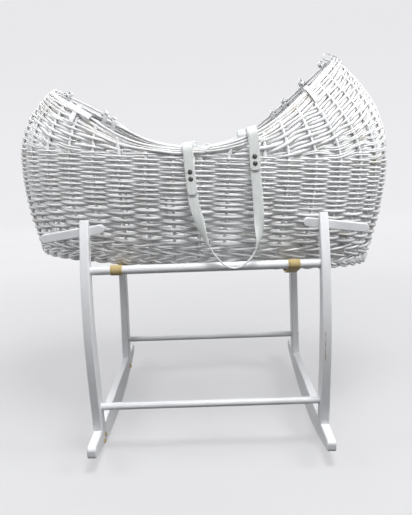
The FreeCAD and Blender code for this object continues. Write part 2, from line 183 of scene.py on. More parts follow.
def outline(turn, level):
    """The outer surface: (a cos t, b sin t) times (|cos t|^n + |sin t|^n)^(-1/n) at each level."""
    cosine = np.cos(turn)
    sine = np.sin(turn)
    stretch = (np.abs(cosine) ** ROUNDNESS + np.abs(sine) ** ROUNDNESS) ** (-1 / ROUNDNESS)
    end = np.where(cosine > 0, half_size(level, 1), half_size(level, 0))
    return np.stack([end * cosine * stretch, half_size(level, 2) * sine * stretch,
                     level + 0.0 * turn], axis=-1)


def wall(turn, level, out):
    """A point of the outer surface moved out along its normal, and that normal, which is the cross
    product of the steps round it and up it."""
    step = 1e-4
    round_it = outline(turn + step, level) - outline(turn - step, level)
    up_it = outline(turn, level + step) - outline(turn, level - step)
    normal = unit(np.cross(round_it, up_it))
    return outline(turn, level) + normal * np.asarray(out)[..., None], normal


def lengths(points):
    """Distance along a line of points, from its first one."""
    return np.concatenate([[0.0], np.cumsum(np.linalg.norm(np.diff(points, axis=0), axis=1))])


def rim_turns():
    """The rim's level for a table of turns, where the outer surface meets the rim's line, by halving."""
    turns = np.linspace(-np.pi, np.pi, 1441)
    low = np.full_like(turns, FAN_LEVEL - 0.02)
    high = np.full_like(turns, RIM_TOP)
    for _ in range(40):
        middle = (low + high) / 2
        under = middle < rim_level(outline(turns, middle)[:, 0])
        low = np.where(under, middle, low)
        high = np.where(under, high, middle)
    return turns, (low + high) / 2


RIM_TURNS, RIM_LEVELS = rim_turns()


def turn_of(u, level):
    """The turn, from 0 to pi, of the place on the outer surface that is u along the basket."""
    turns = np.linspace(0.0, np.pi, 2001)
    along = outline(turns, np.full_like(turns, level))[:, 0]
    return np.interp(u, along[::-1], turns[::-1])


def stake_turns():
    """Turns of the stakes, from the front middle round by the head end: even steps round the belly, with
    those beside a handle's end moved clear of it."""
    turns = np.linspace(-np.pi, np.pi, 4001)
    walked = lengths(outline(turns, np.full_like(turns, BELLY_LEVEL)))
    start = np.interp(-turn_of(STAKE_SHIFT, BELLY_LEVEL), turns, walked)
    places = (start + np.arange(STAKES) * walked[-1] / STAKES) % walked[-1]
    found = np.interp(places, walked, turns)
    along = outline(found, np.full_like(found, BELLY_LEVEL))[:, 0]
    for middle in HANDLE_RIM:
        near = np.abs(along - middle) < STRAP_ROOM
        side = np.where(along > middle, 1.0, -1.0)
        moved = turn_of(middle + side * STRAP_ROOM, BELLY_LEVEL)
        found = np.where(near, np.sign(found) * moved, found)
    along = outline(found, np.full_like(found, BELLY_LEVEL))[:, 0]
    first, last = HEAD_SPREAD
    pushed = along + HEAD_PUSH * np.sin(np.pi * np.clip((along - first) / (last - first), 0.0, 1.0))
    found = np.where(along > first, np.sign(found) * turn_of(pushed, BELLY_LEVEL), found)
    return np.sort(found)


STAKE_TURNS = stake_turns()


def stake_count(turn):
    """How many stakes a turn has passed, so that a stake stands at each whole number."""
    first = STAKE_TURNS[0]
    wound = np.concatenate([STAKE_TURNS, [first + 2 * np.pi]])
    cycles = np.floor((turn - first) / (2 * np.pi))
    return np.interp(turn - cycles * 2 * np.pi, wound, np.arange(STAKES + 1)) + cycles * STAKES


# ------------------------------------------------------------------ hoods

class Hood:
    """The fan above the level rows at one end.  A place on it is a share from 0 in the middle of the
    basket to 1 at the tip, a side (-1 front, 1 rear), and a height from 0 at the last level row to 1 at
    the rim."""

    def __init__(self, tip, rim_widths, pitch):
        middle = turn_of(RIM_MIDDLE, FAN_LEVEL)
        self.turns = np.linspace(middle, tip, 500)
        self.levels = np.interp(self.turns, RIM_TURNS, RIM_LEVELS)
        base = lengths(outline(self.turns, np.full_like(self.turns, FAN_LEVEL)))
        rim = lengths(outline(self.turns, self.levels))
        self.base_shares = base / base[-1]
        self.rim_shares = rim / rim[-1]
        self.rim_length = rim[-1]
        self.rim_widths = rim_widths
        self.pitch = pitch
        self.shares = np.linspace(0.0, 1.0, 301)
        heights = np.linspace(0.0, 1.0, 25)
        grid = self.place(self.shares[:, None], 1.0, heights[None, :])
        points = outline(*grid)
        self.rises = np.linalg.norm(np.diff(points, axis=1), axis=2).sum(axis=1)

    def place(self, share, side, height):
        """Turn and level: each stake leans from its own turn towards the turn where it meets the rim."""
        share = np.clip(share, 0.0, 1.0)
        low_turn = np.interp(share, self.base_shares, self.turns)
        top_share = share ** UPRIGHT_SHARE
        top_turn = np.interp(top_share, self.rim_shares, self.turns)
        top_level = np.interp(top_share, self.rim_shares, self.levels)
        lean = np.clip(height, 0.0, None) ** LATE_LEAN
        turn = low_turn + (top_turn - low_turn) * lean
        return side * turn, FAN_LEVEL + (top_level - FAN_LEVEL) * height

    def rise(self, share):
        """Length of a stake from the last level row to the rim."""
        return np.interp(share, self.shares, self.rises)

    def rim_width(self, share):
        """How far the bundle of rim rods reaches down."""
        return np.interp(share, *self.rim_widths)

    def share_at_turn(self, turn):
        """The share whose stake stands at a turn."""
        return np.interp(turn, *sorted_pair(self.turns, self.base_shares))

    def share_at_rim(self, u):
        """The share whose stake meets the rim u along the basket."""
        along = outline(self.turns, self.levels)[:, 0]
        return np.interp(u, *sorted_pair(along, self.rim_shares)) ** (1 / UPRIGHT_SHARE)


def sorted_pair(keys, values):
    """Two lists put in the order of the first."""
    order = np.argsort(keys)
    return keys[order], values[order]


HEAD = Hood(0.0, ([0.0, 0.25, 0.5, 0.75, 1.0], [0.013, 0.021, 0.031, 0.027, 0.015]), 0.0080)
TAIL = Hood(np.pi, ([0.0, 0.3, 0.6, 0.85, 1.0], [0.013, 0.026, 0.036, 0.030, 0.018]), 0.0080)


# ------------------------------------------------------------------ making meshes

ROUND_END = np.array([0.0, 0.62, 0.9])  # places of an end's rings along its radius
THINNEST = 1e-5
RUN_APART = 20                          # so that no two rods share a stretch of grain


class Bundle:
    """Rods gathered into one mesh, with two attributes for its finish: run (metres along the rod, metres
    round it and its number) and tone."""

    def __init__(self):
        self.points = []
        self.faces = []
        self.runs = []
        self.tones = []
        self.caps = []
        self.total = 0

    def rod(self, line, normal, radius, closed=False, sides=SIDES):
        """A round rod carried along a line: centre + r (n cos a + b sin a), where n is the normal square
        to the line and b is square to both.  An open rod closes in a half-round at each end."""
        line = np.asarray(line, float)
        normal = np.broadcast_to(np.asarray(normal, float), line.shape)
        radius = np.broadcast_to(np.asarray(radius, float), line.shape[:1]).copy()
        if closed:
            tangent = unit(np.roll(line, -1, axis=0) - np.roll(line, 1, axis=0))
        else:
            tangent = unit(np.gradient(line, axis=0))
            tuck = np.sqrt(1 - (1 - ROUND_END) ** 2)
            first = line[0] - tangent[0] * radius[0] * (1 - ROUND_END[:, None])
            last = line[-1] + tangent[-1] * radius[-1] * (1 - ROUND_END[::-1, None])
            line = np.concatenate([first, line, last])
            normal = np.concatenate([normal[:1].repeat(3, 0), normal, normal[-1:].repeat(3, 0)])
            tangent = np.concatenate([tangent[:1].repeat(3, 0), tangent, tangent[-1:].repeat(3, 0)])
            radius = np.concatenate([radius[0] * tuck, radius, radius[-1] * tuck[::-1]])
            radius = np.maximum(radius, THINNEST)
        out = unit(normal - tangent * np.sum(normal * tangent, axis=1, keepdims=True))
        beside = np.cross(tangent, out)
        angle = 2 * np.pi * np.arange(sides) / sides
        ring = (out[:, None] * np.cos(angle)[None, :, None] + beside[:, None] * np.sin(angle)[None, :, None])
        points = line[:, None] + ring * radius[:, None, None]
        count = len(line)
        rows = np.arange(count if closed else count - 1)[:, None]
        cells = np.arange(sides)[None, :]
        after = (rows + 1) % count
        beyond = (cells + 1) % sides
        faces = np.stack([rows * sides + cells, rows * sides + beyond,
                          after * sides + beyond, after * sides + cells], axis=-1).reshape(-1, 4)
        walked = lengths(line)
        number = CHANCE.random()
        runs = np.stack([np.broadcast_to(walked[:, None], points.shape[:2]),
                         np.broadcast_to(angle[None, :] * radius.mean(), points.shape[:2]),
                         np.full(points.shape[:2], number * RUN_APART)], axis=-1)
        self.faces.append(faces + self.total)
        self.points.append(points.reshape(-1, 3))
        self.runs.append(runs.reshape(-1, 3))
        self.tones.append(np.full(points.shape[0] * sides, CHANCE.random()))
        self.total += points.shape[0] * sides
        if not closed:
            low = np.arange(sides)[::-1] + self.total - count * sides
            high = np.arange(sides) + self.total - sides
            self.caps += [low.tolist(), high.tolist()]

    def build(self, name, finish):
        """The bundle as one piece, in its place on the stand."""
        faces = np.concatenate(self.faces).tolist() + self.caps
        piece = new_piece(name, in_stand(np.concatenate(self.points)), faces, finish)
        add_values(piece, "run", "FLOAT_VECTOR", np.concatenate(self.runs))
        add_values(piece, "tone", "FLOAT", np.concatenate(self.tones))
        return piece


def new_piece(name, points, faces, finish):
    """A mesh object at the origin with its place in its mesh."""
    mesh = bpy.data.meshes.new(name)
    mesh.from_pydata(np.asarray(points).reshape(-1, 3), [], faces)
    mesh.polygons.foreach_set("use_smooth", np.full(len(mesh.polygons), True))
    mesh.update()
    piece = bpy.data.objects.new(name, mesh)
    bpy.context.scene.collection.objects.link(piece)
    mesh.materials.append(finish)
    return piece


def add_values(piece, name, kind, values):
    """Numbers on each point, which a finish reads by name."""
    attribute = piece.data.attributes.new(name, kind, "POINT")
    key = "vector" if kind == "FLOAT_VECTOR" else "value"
    attribute.data.foreach_set(key, np.asarray(values, np.float32).ravel())


def grid_faces(rows, columns, closed=False):
    """Quads of a grid of points.  Each row is joined round, and the last row meets the first where it is
    closed."""
    row = np.arange(rows if closed else rows - 1)[:, None]
    column = np.arange(columns)[None, :]
    below = (row + 1) % rows
    beside = (column + 1) % columns
    return np.stack([row * columns + column, row * columns + beside,
                     below * columns + beside, below * columns + column], axis=-1).reshape(-1, 4).tolist()


BAND_SIDES = 20                 # points round the profile of a flat band
SQUARED = (0.35, 0.6)           # below 1 squares the profile's corners, across and through


def band(name, line, wide, thin, width, thickness, finish, closed=False):
    """A strap with softly rounded edges: a flat oval profile of the width and thickness, with squared
    corners, carried along a line whose wide and thin directions are given."""
    sides = BAND_SIDES
    width = np.broadcast_to(width, len(line))
    angle = 2 * np.pi * (np.arange(sides) + 0.5) / sides
    across = squared(np.cos(angle), SQUARED[0])
    through = squared(np.sin(angle), SQUARED[1]) * thickness / 2
    reach = across[None, :] * width[:, None] / 2
    points = (line[:, None] + wide[:, None] * reach[:, :, None]
              + thin[:, None] * through[None, :, None])
    count = len(line)
    faces = grid_faces(count, sides, closed)
    if not closed:
        faces += [list(range(sides))[::-1], [(count - 1) * sides + k for k in range(sides)]]
    outwards = np.sum(np.cross(wide, thin) * np.gradient(line, axis=0), axis=1).mean() > 0
    if not outwards:
        faces = [face[::-1] for face in faces]
    piece = new_piece(name, points, faces, finish)
    walked = lengths(line)
    runs = np.stack([np.broadcast_to(walked[:, None], points.shape[:2]), reach,
                     np.broadcast_to(through[None, :], points.shape[:2])], axis=-1)
    add_values(piece, "run", "FLOAT_VECTOR", runs.reshape(-1, 3))
    return piece


# ------------------------------------------------------------------ where the handles pass

def in_basket(point):
    """A point of the stand's frame, taken to the basket's."""
    return TO_STAND @ (np.asarray(point, float) - FOOT)


FRONT_SWING = JOINTS["handle_front_swing"]
EYE_WAY = -unit(TO_STAND @ np.array(FRONT_SWING["axis"], float))
LEFT_EYE = in_basket(FRONT_SWING["pos_m"])
RIGHT_EYE = LEFT_EYE + EYE_WAY * (HANDLE_RIM[1] - HANDLE_RIM[0]) / EYE_WAY[0]
FRONT_TO_REAR = np.array([1.0, -1.0, 1.0])
EYES = (LEFT_EYE, RIGHT_EYE, LEFT_EYE * FRONT_TO_REAR, RIGHT_EYE * FRONT_TO_REAR)
EYE_ROOM = (HANDLE_WIDTH * 0.9, 0.006)  # rods move over this half width, easing over the second
ROOM_INSIDE = 0.0004
ROOM_OUTSIDE = 0.0008


def kept_clear(line, radius):
    """Moves a rod off the four strap loops: within a loop's width, a rod inside it is drawn in towards
    its middle and a rod outside it is pushed away, easing off to both sides."""
    line = np.array(line, float)
    for eye in EYES:
        away = line - eye
        along = away @ EYE_WAY
        away = away - along[:, None] * EYE_WAY
        far = np.linalg.norm(away, axis=1) + 1e-9
        here = eased((EYE_ROOM[0] - np.abs(along)) / EYE_ROOM[1])
        tight = np.minimum(far, HANDLE_EYE - radius - ROOM_INSIDE)
        loose = np.maximum(far, HANDLE_EYE + 2 * HANDLE_THICKNESS + radius + ROOM_OUTSIDE)
        wanted = np.where(far < HANDLE_EYE + HANDLE_THICKNESS / 2, tight, loose)
        line += away * ((wanted - far) * here / far)[:, None]
    return line


# ------------------------------------------------------------------ the basket's pieces

LOWER_ROWS = (0.0545, 0.1285, 11)       # first level, last level, count
UPPER_ROWS = (0.1338, 0.2345, 21)
LOWER_RADIUS = 0.0034
UPPER_RADIUS = 0.0024
SIDE_REACH = 0.78               # how far rows swing out of the wall, against a full rod's clearance
ROUND_STEPS = STAKES * 8        # points of a rod once round the basket


def level_rows(finish):
    """Plain weave: each row goes in front of one stake and behind the next, out = depth + reach cos(pi n),
    where n counts the stakes, and the next row does the opposite."""
    weave = Bundle()
    turns = np.linspace(-np.pi, np.pi, ROUND_STEPS, endpoint=False)
    passed = stake_count(turns)
    sign = 1
    for (first, last, count), thickness in ((LOWER_ROWS, LOWER_RADIUS), (UPPER_ROWS, UPPER_RADIUS)):
        for level in np.linspace(first, last, count):
            radius = thickness * (0.95 + 0.12 * CHANCE.random())
            phase = CHANCE.random(3) * 2 * np.pi
            wander = 0.0006 * np.sin(3 * turns + phase[0]) + 0.0004 * np.sin(7 * turns + phase[1])
            reach = (STAKE_RADIUS + radius) * SIDE_REACH
            out = WEAVE_DEPTH + reach * sign * np.cos(np.pi * passed)
            line, normal = wall(turns, level + wander, out)
            weave.rod(kept_clear(line, radius), normal, radius * (1 + 0.07 * np.sin(turns * 2 + phase[2])),
                      closed=True)
            sign = -sign
    return weave.build("side_weave", finish)


WALE_LEVELS = (0.0310, 0.0462)
WALE_RADIUS = 0.0030
WALE_TURNS = 13                 # whole turns of a wale's three rods round the basket
WALE_SWING = (0.0055, 0.0042)   # out and up
PLAIT_LEVEL = 0.0116
PLAIT_DEPTH = -0.0034
PLAIT_RADIUS = 0.0031
PLAIT_SWING = (0.0030, 0.0062)
PLAIT_APART = 0.0029            # half the distance between the two rods of a pair


def foot_plait(finish):
    """Two wales of three rods twisted round each other, out and up by the cosine and sine of one angle,
    and under them a plait of three pairs: up by the sine of an angle, out by the sine of twice it."""
    plait = Bundle()
    turns = np.linspace(-np.pi, np.pi, ROUND_STEPS, endpoint=False)
    passed = stake_count(turns)
    for row, level in enumerate(WALE_LEVELS):
        for strand in range(3):
            angle = 2 * np.pi * (passed * WALE_TURNS / STAKES + strand / 3) * (1 if row else -1)
            line, normal = wall(turns, level + WALE_SWING[1] * np.sin(angle),
                                WEAVE_DEPTH + WALE_SWING[0] * np.cos(angle))
            plait.rod(line, normal, WALE_RADIUS, closed=True)
    fine = np.linspace(-np.pi, np.pi, STAKES * 14, endpoint=False)
    passed = stake_count(fine)
    for strand in range(3):
        angle = 2 * np.pi * (passed / 2 + strand / 3)
        line, normal = wall(fine, PLAIT_LEVEL + PLAIT_SWING[1] * np.sin(angle),
                            PLAIT_DEPTH + PLAIT_SWING[0] * np.sin(2 * angle))
        tangent = unit(np.roll(line, -1, axis=0) - np.roll(line, 1, axis=0))
        beside = np.cross(normal, tangent) * PLAIT_APART
        for side in (-1, 1):
            plait.rod(line + side * beside, normal, PLAIT_RADIUS, closed=True)
    return plait.build("foot_plait", finish)


STAKE_TOP = 0.45                # share of the rim's bundle that a stake stays below


def stakes(finish):
    """Uprights from the foot to the rim: straight up the wall, then leaning in along the hood, each a
    little thinner towards its top."""
    bundle = Bundle()
    middle = turn_of(RIM_MIDDLE, FAN_LEVEL)
    for turn in STAKE_TURNS:
        hood = HEAD if abs(turn) < middle else TAIL
        share = hood.share_at_turn(abs(turn))
        low = np.linspace(STAKE_FOOT, FAN_LEVEL, 26)[:-1]
        top = 1 - STAKE_TOP * hood.rim_width(share) / hood.rise(share)
        heights = np.linspace(0.0, top, 6 + int(hood.rise(share) / 0.008))
        fan_turns, fan_levels = hood.place(share, np.sign(turn), heights)
        turns = np.concatenate([np.full_like(low, turn), fan_turns])
        levels = np.concatenate([low, fan_levels])
        line, normal = wall(turns, levels, WEAVE_DEPTH + STAKE_PROUD)
        radius = np.interp(levels, [0.0, FAN_LEVEL, 0.45], [STAKE_RADIUS, STAKE_RADIUS, STAKE_RADIUS * 0.9])
        bundle.rod(kept_clear(line, STAKE_RADIUS), normal, radius)
    return bundle.build("stakes", finish)


EASING = 6.0                    # rows' worth of room over which a row eases in
ROW_TAPER = (1.24, 0.78)        # a fan's lowest and highest row against the mean row
PAIRED_ROWS = 0.55              # share of a fan's rows, from the bottom, that are pairs of rods
GOLDEN = 0.618034
UPWARDS = 0.9                   # how far the order in which rows begin goes from the top down
ROW_PITCH = (0.0030, 0.0105)    # least and most room of a row that a rod's radius follows
PAIR_SHARE = 0.245              # radius of one of a pair, and of a single rod, against the row's room
SINGLE_SHARE = 0.47
STOUTEST = 0.0023               # a thicker rod swings no further out than one of this radius
FAN_REACH = 0.62
SWING_WAY = np.array([1.0, 1.0, 0.2])
SHARPNESS = 0.93                # 1 would make a rod turn sharply at each stake
FIRST_SHOWN = 0.3               # growth at which a rod starts
START_TUCK = (0.03, 0.004)      # over this share, a rod's start is tucked in this deep


def fan_heights(hood, shares):
    """Growth, room and height of each row at each share.  The room between the last level row and the
    rim's bundle holds room / pitch rows.  As it grows towards the tip, rows ease in two at a time between
    two others, so that they go on alternating, and a row's height is the sum of the room below it."""
    rise = hood.rise(shares)
    room = np.clip(rise - hood.rim_width(shares), 0.0, None)
    wanted = np.maximum.accumulate(room / hood.pitch)
    twos = int(round(wanted[-1] / 2))
    count = 2 * twos
    order = np.arange(1, twos + 1) * GOLDEN % 1.0 + UPWARDS * np.linspace(1.0, 0.0, twos)
    begun = np.repeat(np.argsort(np.argsort(order)) * (count - EASING) / (twos - 1), 2)
    growth = eased((wanted[None, :] - begun[:, None]) / EASING)
    weight = growth * np.linspace(*ROW_TAPER, count)[:, None]
    total = np.maximum(weight.sum(axis=0), 1e-6)
    shown = weight / total * room
    return growth, shown, (np.cumsum(weight, axis=0) - weight / 2) / total * room / rise


def fan_rows(name, hood, finish):
    """Rows that fan out from the rim and go round the hood, pairs of rods low down and single rods
    higher up.  A row runs nearly straight from the front of one stake to the back of the next: it is
    reach asin(0.93 cos(pi n)) / asin(0.93) out from the wall, and mostly level."""
    weave = Bundle()
    shares = np.linspace(0.0, 1.0, 241)
    rise = hood.rise(shares)
    growth, shown, heights = fan_heights(hood, shares)
    count = len(growth)
    for index in range(count):
        drawn = shares[growth[index] > FIRST_SHOWN]
        first = max(0.02, drawn[0] - 0.012)
        steps = 20 + int((1 - first) * 88)
        half = np.linspace(first, 1.0, steps)
        share = np.concatenate([half, half[-2::-1]])
        side = np.concatenate([-np.ones(steps), np.ones(steps - 1)])
        passed = stake_count(side * hood.place(share, 1.0, 0.0)[0])
        height = np.interp(share, shares, heights[index])
        inside = (1 - eased((share - first) / START_TUCK[0])) * START_TUCK[1]
        pitch = np.clip(np.interp(share, shares, shown[index]), *ROW_PITCH)
        paired = index < PAIRED_ROWS * count
        phase = CHANCE.random() * 2 * np.pi
        for pair in ((-1, 1) if paired else (0,)):
            radius = pitch * (PAIR_SHARE if paired else SINGLE_SHARE) * (0.95 + 0.1 * CHANCE.random())
            reach = (STAKE_RADIUS + np.minimum(radius, STOUTEST)) * FAN_REACH
            swing = np.arcsin(SHARPNESS * np.cos(np.pi * passed)) / math.asin(SHARPNESS)
            swung = reach * (-1) ** index * swing
            strayed = pair * pitch * 0.25 + 0.0005 * np.sin(passed * 0.9 + phase + pair)
            raised = height + strayed / np.interp(share, shares, rise)
            line, normal = wall(*hood.place(share, side, raised), WEAVE_DEPTH - inside)
            line = line + normal * SWING_WAY * swung[:, None]
            weave.rod(kept_clear(line, radius), normal, radius)
    return weave.build(name, finish)


RIM_RADIUS = 0.0029
RIM_LAYERS = (6, 3)             # rods of the outer and the inner layer
NARROW_RIM = 0.013              # up to this width the rods are gathered
WIDENING = 0.014                # and from this much more, they lie flat
GATHERED = (0.0032, -0.0072)    # how far out each layer lies, gathered and flat
FLAT = (0.0, -0.0058)
RIM_OUT = 0.0015


def rim_loop(steps):
    """Shares, sides and hoods once round the rim, in even steps along it, from the front middle by the
    head end."""
    even = np.linspace(0.0, 1.0, steps, endpoint=False) ** (1 / UPRIGHT_SHARE)
    back = (1 - np.linspace(0.0, 1.0, steps, endpoint=False)) ** (1 / UPRIGHT_SHARE)
    return ((HEAD, -1, even), (HEAD, 1, back), (TAIL, 1, even), (TAIL, -1, back))


def rim_rods(finish):
    """Long rods laid side by side along the rim.  In the middle they are gathered in two layers, and
    towards the ends they spread flat: rod k of n lies (k + 1/2) / n of the bundle's width down."""
    bundle = Bundle()
    steps = 110
    path = np.linspace(0.0, 2 * np.pi, 4 * steps, endpoint=False)
    for layer, count in enumerate(RIM_LAYERS):
        for index in range(count):
            phase = CHANCE.random(4) * 2 * np.pi
            wander = 0.0024 * np.sin(3 * path + phase[0]) + 0.0011 * np.sin(8 * path + phase[1])
            stray = 0.0012 * np.sin(5 * path + phase[2])
            lines = []
            normals = []
            for part, (hood, side, share) in enumerate(rim_loop(steps)):
                width = hood.rim_width(share)
                spread = eased((width - NARROW_RIM) / WIDENING)
                here = slice(part * steps, (part + 1) * steps)
                down = (index + 0.5) / count * width * (1 - 0.15 * layer) + wander[here] * spread
                gathered = GATHERED[layer] * (1 if layer else (-1) ** index)
                out = (WEAVE_DEPTH + RIM_OUT + gathered * (1 - spread) + FLAT[layer] * spread
                       + stray[here])
                turn, level = hood.place(share, side, 1 - down / hood.rise(share))
                line, normal = wall(turn, level, out)
                lines.append(line)
                normals.append(normal)
            line = kept_clear(np.concatenate(lines), RIM_RADIUS)
            radius = RIM_RADIUS * (0.95 + 0.1 * CHANCE.random())
            bundle.rod(line, np.concatenate(normals), radius, closed=True)
    return bundle.build("rim_rods", finish)


TIE_PLACES = (                  # hood, place along the basket, side, radius of the end's curl
    (TAIL, -0.262, -1, 0.0), (HEAD, 0.002, -1, 0.0), (HEAD, 0.200, -1, 0.0),
    (TAIL, -0.337, 1, 0.0052), (TAIL, -0.260, 1, 0.0048), (TAIL, -0.240, 1, 0.0036),
    (HEAD, -0.005, 1, 0.0030), (HEAD, 0.165, 1, 0.0038), (HEAD, 0.190, 1, 0.0050),
    (HEAD, 0.228, 1, 0.0072), (HEAD, 0.266, 1, 0.0060), (HEAD, 0.300, 1, 0.0085))
TIE_WIDTH = 0.012
TIE_THICKNESS = 0.0011
TIE_ROOM = 0.0036               # past the bundle's edges, up and down
TIE_DEPTHS = (-0.0062, 0.0094)  # its middle, and how far it reaches out and in from there
TIE_SQUARED = 0.55
LAID_TIE = (TAIL, -0.281, -0.231)       # a length of it that lies along the rim


def tie_piece(line, wide, thin, finish, width=TIE_WIDTH, closed=False):
    """A flat band in the basket's frame."""
    return band("tie", in_stand(line), wide @ TO_STAND, thin @ TO_STAND, width, TIE_THICKNESS, finish, closed)


def tie_curl(hood, share, side, radius, up, across, finish):
    """A free end that curls up behind the rim: part of a spiral in the plane of the stake and the normal,
    of radius r (1 - 0.035 t)."""
    top, normal = wall(*hood.place(share, side, 1 + 0.004 / hood.rise(share)), -0.010)
    turned = np.linspace(-0.6 * np.pi, 1.15 * np.pi, 26)
    swell = radius * (1 - 0.035 * turned)
    curl = (top + up * radius * 0.8 + up * (np.sin(turned) * swell)[:, None]
            - normal * (np.cos(turned) * swell - swell * 0.2)[:, None])
    across = np.broadcast_to(across, curl.shape)
    through = unit(np.cross(np.gradient(curl, axis=0), across))
    return tie_piece(curl, across, through, finish, TIE_WIDTH * 0.8)


def tie_bands(finish):
    """Flat bands wound once round the rim's rods: a squared oval in the plane of the wall's normal and
    the stake.  Some have a free end, and one more length lies along the rim."""
    joined = []
    angle = np.linspace(0.0, 2 * np.pi, 36, endpoint=False)
    half = len(angle) // 2
    for hood, u, side, curled in TIE_PLACES:
        share = hood.share_at_rim(u)
        width = hood.rim_width(share)
        down = width / 2 + (width / 2 + TIE_ROOM) * squared(np.cos(angle), TIE_SQUARED)
        out = TIE_DEPTHS[0] + TIE_DEPTHS[1] * squared(np.sin(angle), TIE_SQUARED)
        step = 0.004 / hood.rim_length
        beyond = min(share + step, 1.0)
        line, after, before = (wall(*hood.place(at, side, 1 - down / hood.rise(at)), out)[0]
                               for at in (share, beyond, beyond - 2 * step))
        wide = unit(after - before)
        tangent = unit(np.roll(line, -1, axis=0) - np.roll(line, 1, axis=0))
        thin = unit(np.cross(tangent, wide))
        joined.append(tie_piece(line, wide, thin, finish, closed=True))
        if curled:
            joined.append(tie_curl(hood, share, side, curled, unit(line[half] - line[0]), wide[half], finish))
    hood, first, last = LAID_TIE
    shares = hood.share_at_rim(np.linspace(first, last, 20))
    lie = 0.005 + 0.0012 * np.sin(np.linspace(0.0, 5.0, 20))
    line, normal = wall(*hood.place(shares, -1, 1 - lie / hood.rise(shares)), 0.0042)
    along = unit(np.gradient(line, axis=0))
    joined.append(tie_piece(line, unit(np.cross(along, normal)), normal, finish))
    return merged("tie_bands", joined)


def merged(name, parts):
    """Several mesh objects made one."""
    bpy.ops.object.select_all(action="DESELECT")
    for part in parts:
        part.select_set(True)
    bpy.context.view_layer.objects.active = parts[0]
    bpy.ops.object.join()
    parts[0].name = name
    parts[0].data.name = name
    return parts[0]


BASE_SPINE = 0.205              # half the length of the middle line that the base is woven round
BASE_ROWS = 21
BASE_HEIGHT = 0.0078
BASE_EDGE = (0.008, -0.0085)    # level and depth where the spokes meet the wall
SPOKE_RADIUS = 0.0024
SPINE_RADIUS = 0.0026
SPINE_RODS = (-0.0055, 0.0, 0.0055)
BASE_ROD = 0.0025
BASE_SWING = 0.0032


def base_weave(finish):
    """The bottom: spokes from a middle line out to the stakes, and rows woven round that line.  A row is
    the share q of the way from the nearest place of the line to the edge."""
    bundle = Bundle()

    def edge(turn):
        return wall(turn, np.full_like(turn, BASE_EDGE[0]), BASE_EDGE[1])[0]

    def inward(turn):
        nearest = np.clip(edge(turn)[:, 0], -BASE_SPINE, BASE_SPINE)
        return np.stack([nearest, 0 * turn, 0 * turn + BASE_EDGE[0]], axis=1)

    for start, end in zip(inward(STAKE_TURNS), edge(STAKE_TURNS)):
        share = np.linspace(0.0, 1.0, 14)[:, None]
        line = start * (1 - share) + end * share
        line[:, 2] = BASE_HEIGHT
        bundle.rod(line, (0, 0, 1), SPOKE_RADIUS, sides=6)
    along = np.linspace(-BASE_SPINE - 0.01, BASE_SPINE + 0.01, 30)
    for across in SPINE_RODS:
        line = np.stack([along, 0 * along + across, 0 * along + BASE_HEIGHT], axis=1)
        bundle.rod(line, (0, 0, 1), SPINE_RADIUS)
    turns = np.linspace(-np.pi, np.pi, STAKES * 6, endpoint=False)
    passed = stake_count(turns)
    for index, share in enumerate(np.linspace(0.075, 0.975, BASE_ROWS)):
        line = inward(turns) * (1 - share) + edge(turns) * share
        line[:, 2] = BASE_HEIGHT + BASE_SWING * min(1.0, 0.4 + share) * np.cos(np.pi * (passed + index))
        bundle.rod(line, (0, 0, 1), BASE_ROD, closed=True, sides=6)
    return bundle.build("base_weave", finish)


# ------------------------------------------------------------------ the handles

def turned_about(points, centre, axis, angle):
    """Points turned about a line, by the rule of Rodrigues."""
    away = points - centre
    return (centre + away * math.cos(angle) + np.cross(axis, away) * math.sin(angle)
            + axis * (away @ axis)[:, None] * (1 - math.cos(angle)))


ACROSS = np.array([0.0, 1.0, 0.0])
STRAP_CORNER = 0.006            # radius where the inner layer turns down below the rim
STITCH_SPACING = 0.0042
STITCH_RADIUS = 0.00042
STITCH_SHARE = 0.72             # length of a stitch against its spacing
STITCH_SIDES = 5


def strap_end(eye, target, flap):
    """One end of a strap, from its tip: up the outer layer, over the rim, back under it and down the
    inner layer.  The radius round the rim grows by one thickness, so that the layers lie side by side."""
    down = unit(np.array([target[0] - eye[0], 0.0, target[1] - eye[2]]))
    square_down = np.cross(EYE_WAY, ACROSS) * -1
    inner = HANDLE_EYE + HANDLE_THICKNESS / 2
    outer = inner + HANDLE_THICKNESS
    layer = np.linspace(flap, 0.004, 24)[:, None]
    tip = eye - ACROSS * outer + down * layer
    angle = np.linspace(0.0, 1.5 * np.pi, 44)[:, None]
    radius = outer - (outer - inner) * eased(angle / (1.5 * np.pi))
    ring = eye - ACROSS * (radius * np.cos(angle)) - square_down * (radius * np.sin(angle))
    turn = np.linspace(0.0, np.pi / 2, 10)[1:, None]
    small = STRAP_CORNER
    corner = eye + square_down * (inner + small) - ACROSS * (inner - small)
    bend = corner - square_down * (small * np.cos(turn)) - ACROSS * (small * np.sin(turn))
    back = eye - ACROSS * inner + down * np.linspace(inner + small + 0.006, flap, 20)[:, None]
    line = np.concatenate([tip, ring[1:], bend, back])
    flat = np.cross(ACROSS, down)
    level = np.cross(ACROSS, square_down)
    steady = np.concatenate([np.tile(flat, (len(tip), 1)), np.tile(level, (len(ring) - 1 + len(bend), 1)),
                             np.tile(flat, (len(back), 1))])
    return line, steady


